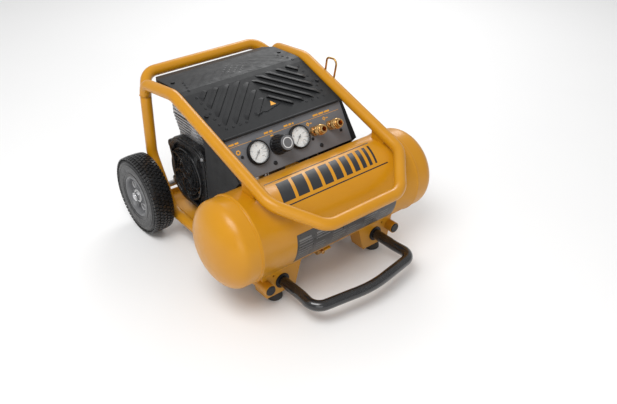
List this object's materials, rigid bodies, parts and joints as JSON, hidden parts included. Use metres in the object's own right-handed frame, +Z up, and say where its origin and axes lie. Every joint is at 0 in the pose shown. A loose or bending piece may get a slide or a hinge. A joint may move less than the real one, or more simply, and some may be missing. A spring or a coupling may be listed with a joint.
{
  "type": "portable air compressor",
  "caption": "Wheeled electric air compressor: horizontal tank in a tube cage, shrouded direct-drive pump, gauge panel and a slide-out pull handle.",
  "frame": {"origin": "on the floor under the middle of the machine's box", "axes": "+X to the right seen from the control panel side, +Y from the tank to the wheels, +Z up"},
  "size_m": [0.6096, 0.7051, 0.4209],
  "materials": {
    "yellow_paint": "semi-gloss powder coat",
    "handle_black": "satin black powder coat",
    "foot_rubber": "matt moulded rubber",
    "tyre_rubber": "matt block tread",
    "rim_grey": "grey moulded plastic",
    "black_plastic": "black moulded plastic, fine texture",
    "shroud_black": "charcoal moulded plastic, low sheen",
    "panel_grey": "satin dark grey",
    "knob_face": "grey satin plastic",
    "zinc_steel": "zinc plated",
    "dark_screws": "black oxide",
    "hook_zinc": "yellow zinc",
    "cast_aluminium": "sand-cast, grey",
    "bare_tube": "drawn tube",
    "brass": "machined",
    "motor_black": "black enamel",
    "switch_case": "black plastic",
    "dial_white": "printed card",
    "needle_black": "black",
    "clear_lens": "clear",
    "lever_yellow": "moulded"
  },
  "bodies": {
    "root": {"tank_shell": "yellow_paint", "tank_head_left": "yellow_paint", "tank_head_right": "yellow_paint", "roll_bar_rear": "yellow_paint", "roll_bar_front": "yellow_paint", "front_brackets": "yellow_paint", "handle_guide_channel": "yellow_paint", "pump_base_plate": "yellow_paint", "axle_plates": "yellow_paint", "rubber_feet": "foot_rubber", "rail_plugs": "black_plastic", "handle_bushes": "black_plastic", "fan_cover": "black_plastic", "intake_filter": "black_plastic", "cord_gland": "black_plastic", "gauge_cases": "black_plastic", "shroud_cover": "shroud_black", "control_panel": "panel_grey", "axle": "zinc_steel", "axle_nuts": "zinc_steel", "head_bolts": "zinc_steel", "shaft_bearings": "zinc_steel", "cover_screws": "dark_screws", "cord_hook": "hook_zinc", "crankcase": "cast_aluminium", "cylinder": "cast_aluminium", "cylinder_head": "cast_aluminium", "air_manifold": "cast_aluminium", "discharge_tube": "bare_tube", "unloader_tube": "bare_tube", "coupler_bodies": "brass", "safety_valve": "brass", "check_valve": "brass", "drain_valve": "brass", "regulator_body": "brass", "motor_housing": "motor_black", "motor_stator": "motor_black", "pressure_switch": "switch_case", "gauge_dials": "dial_white", "gauge_lenses": "clear_lens"},
    "handle": {"pull_handle": "handle_black", "handle_end_stops": "black_plastic"},
    "wheel_left": {"tyre_left": "tyre_rubber", "rim_left": "rim_grey"},
    "wheel_right": {"tyre_right": "tyre_rubber", "rim_right": "rim_grey"},
    "shaft": {"crankshaft": "zinc_steel", "motor_rotor": "motor_black", "cooling_fan": "black_plastic"},
    "piston_rod": {"piston": "cast_aluminium", "connecting_rod": "cast_aluminium"},
    "knob": {"regulator_knob": "black_plastic", "knob_cap": "knob_face"},
    "needle_left": {"gauge_needle_left": "needle_black"},
    "needle_right": {"gauge_needle_right": "needle_black"},
    "sleeve_left": {"coupler_sleeve_left": "brass"},
    "sleeve_right": {"coupler_sleeve_right": "brass"},
    "switch": {"switch_lever": "black_plastic"},
    "relief_ring": {"safety_valve_ring": "zinc_steel"},
    "drain": {"drain_lever": "lever_yellow"}
  },
  "joints": [
    {"name": "handle_slide", "type": "slide", "parent": "root", "child": "handle", "axis": [0, -1, 0], "range_m": [0, 0.277]},
    {"name": "wheel_left_spin", "type": "hinge", "parent": "root", "child": "wheel_left", "pos_m": [-0.2372, 0.2526, 0.103], "axis": [1, 0, 0], "continuous": true},
    {"name": "wheel_right_spin", "type": "hinge", "parent": "root", "child": "wheel_right", "pos_m": [0.2372, 0.2526, 0.103], "axis": [1, 0, 0], "continuous": true},
    {"name": "shaft_spin", "type": "hinge", "parent": "root", "child": "shaft", "pos_m": [-0.1, 0.15, 0.18], "axis": [1, 0, 0], "continuous": true},
    {"name": "piston_slide", "type": "slide", "parent": "root", "child": "piston_rod", "axis": [0, 0, 1], "range_m": [-0.008, 0.008]},
    {"name": "knob_turn", "type": "hinge", "parent": "root", "child": "knob", "pos_m": [-0.0365, -0.05766, 0.3037], "axis": [0, -0.866, 0.5], "range_deg": [0, 1080]},
    {"name": "needle_left_turn", "type": "hinge", "parent": "root", "child": "needle_left", "pos_m": [-0.094, -0.05333, 0.3012], "axis": [0, 0.866, -0.5], "range_deg": [0, 270], "stiffness_Nm_per_rad": 0.00005},
    {"name": "needle_right_turn", "type": "hinge", "parent": "root", "child": "needle_right", "pos_m": [0.023, -0.05333, 0.3012], "axis": [0, 0.866, -0.5], "range_deg": [0, 270], "stiffness_Nm_per_rad": 0.00005},
    {"name": "sleeve_left_slide", "type": "slide", "parent": "root", "child": "sleeve_left", "axis": [0, 0.866, -0.5], "range_m": [0, 0.005], "stiffness_N_per_m": 800, "springref_m": -0.002},
    {"name": "sleeve_right_slide", "type": "slide", "parent": "root", "child": "sleeve_right", "axis": [0, 0.866, -0.5], "range_m": [0, 0.005], "stiffness_N_per_m": 800, "springref_m": -0.002},
    {"name": "switch_turn", "type": "hinge", "parent": "root", "child": "switch", "pos_m": [0.176, 0.02, 0.262], "axis": [1, 0, 0], "range_deg": [0, 40]},
    {"name": "relief_ring_slide", "type": "slide", "parent": "root", "child": "relief_ring", "axis": [0, 1, 0], "range_m": [0, 0.004], "stiffness_N_per_m": 600, "springref_m": -0.002},
    {"name": "drain_turn", "type": "hinge", "parent": "root", "child": "drain", "pos_m": [0, -0.1476, 0.036], "axis": [0, 0, -1], "range_deg": [0, 90]}
  ]
}
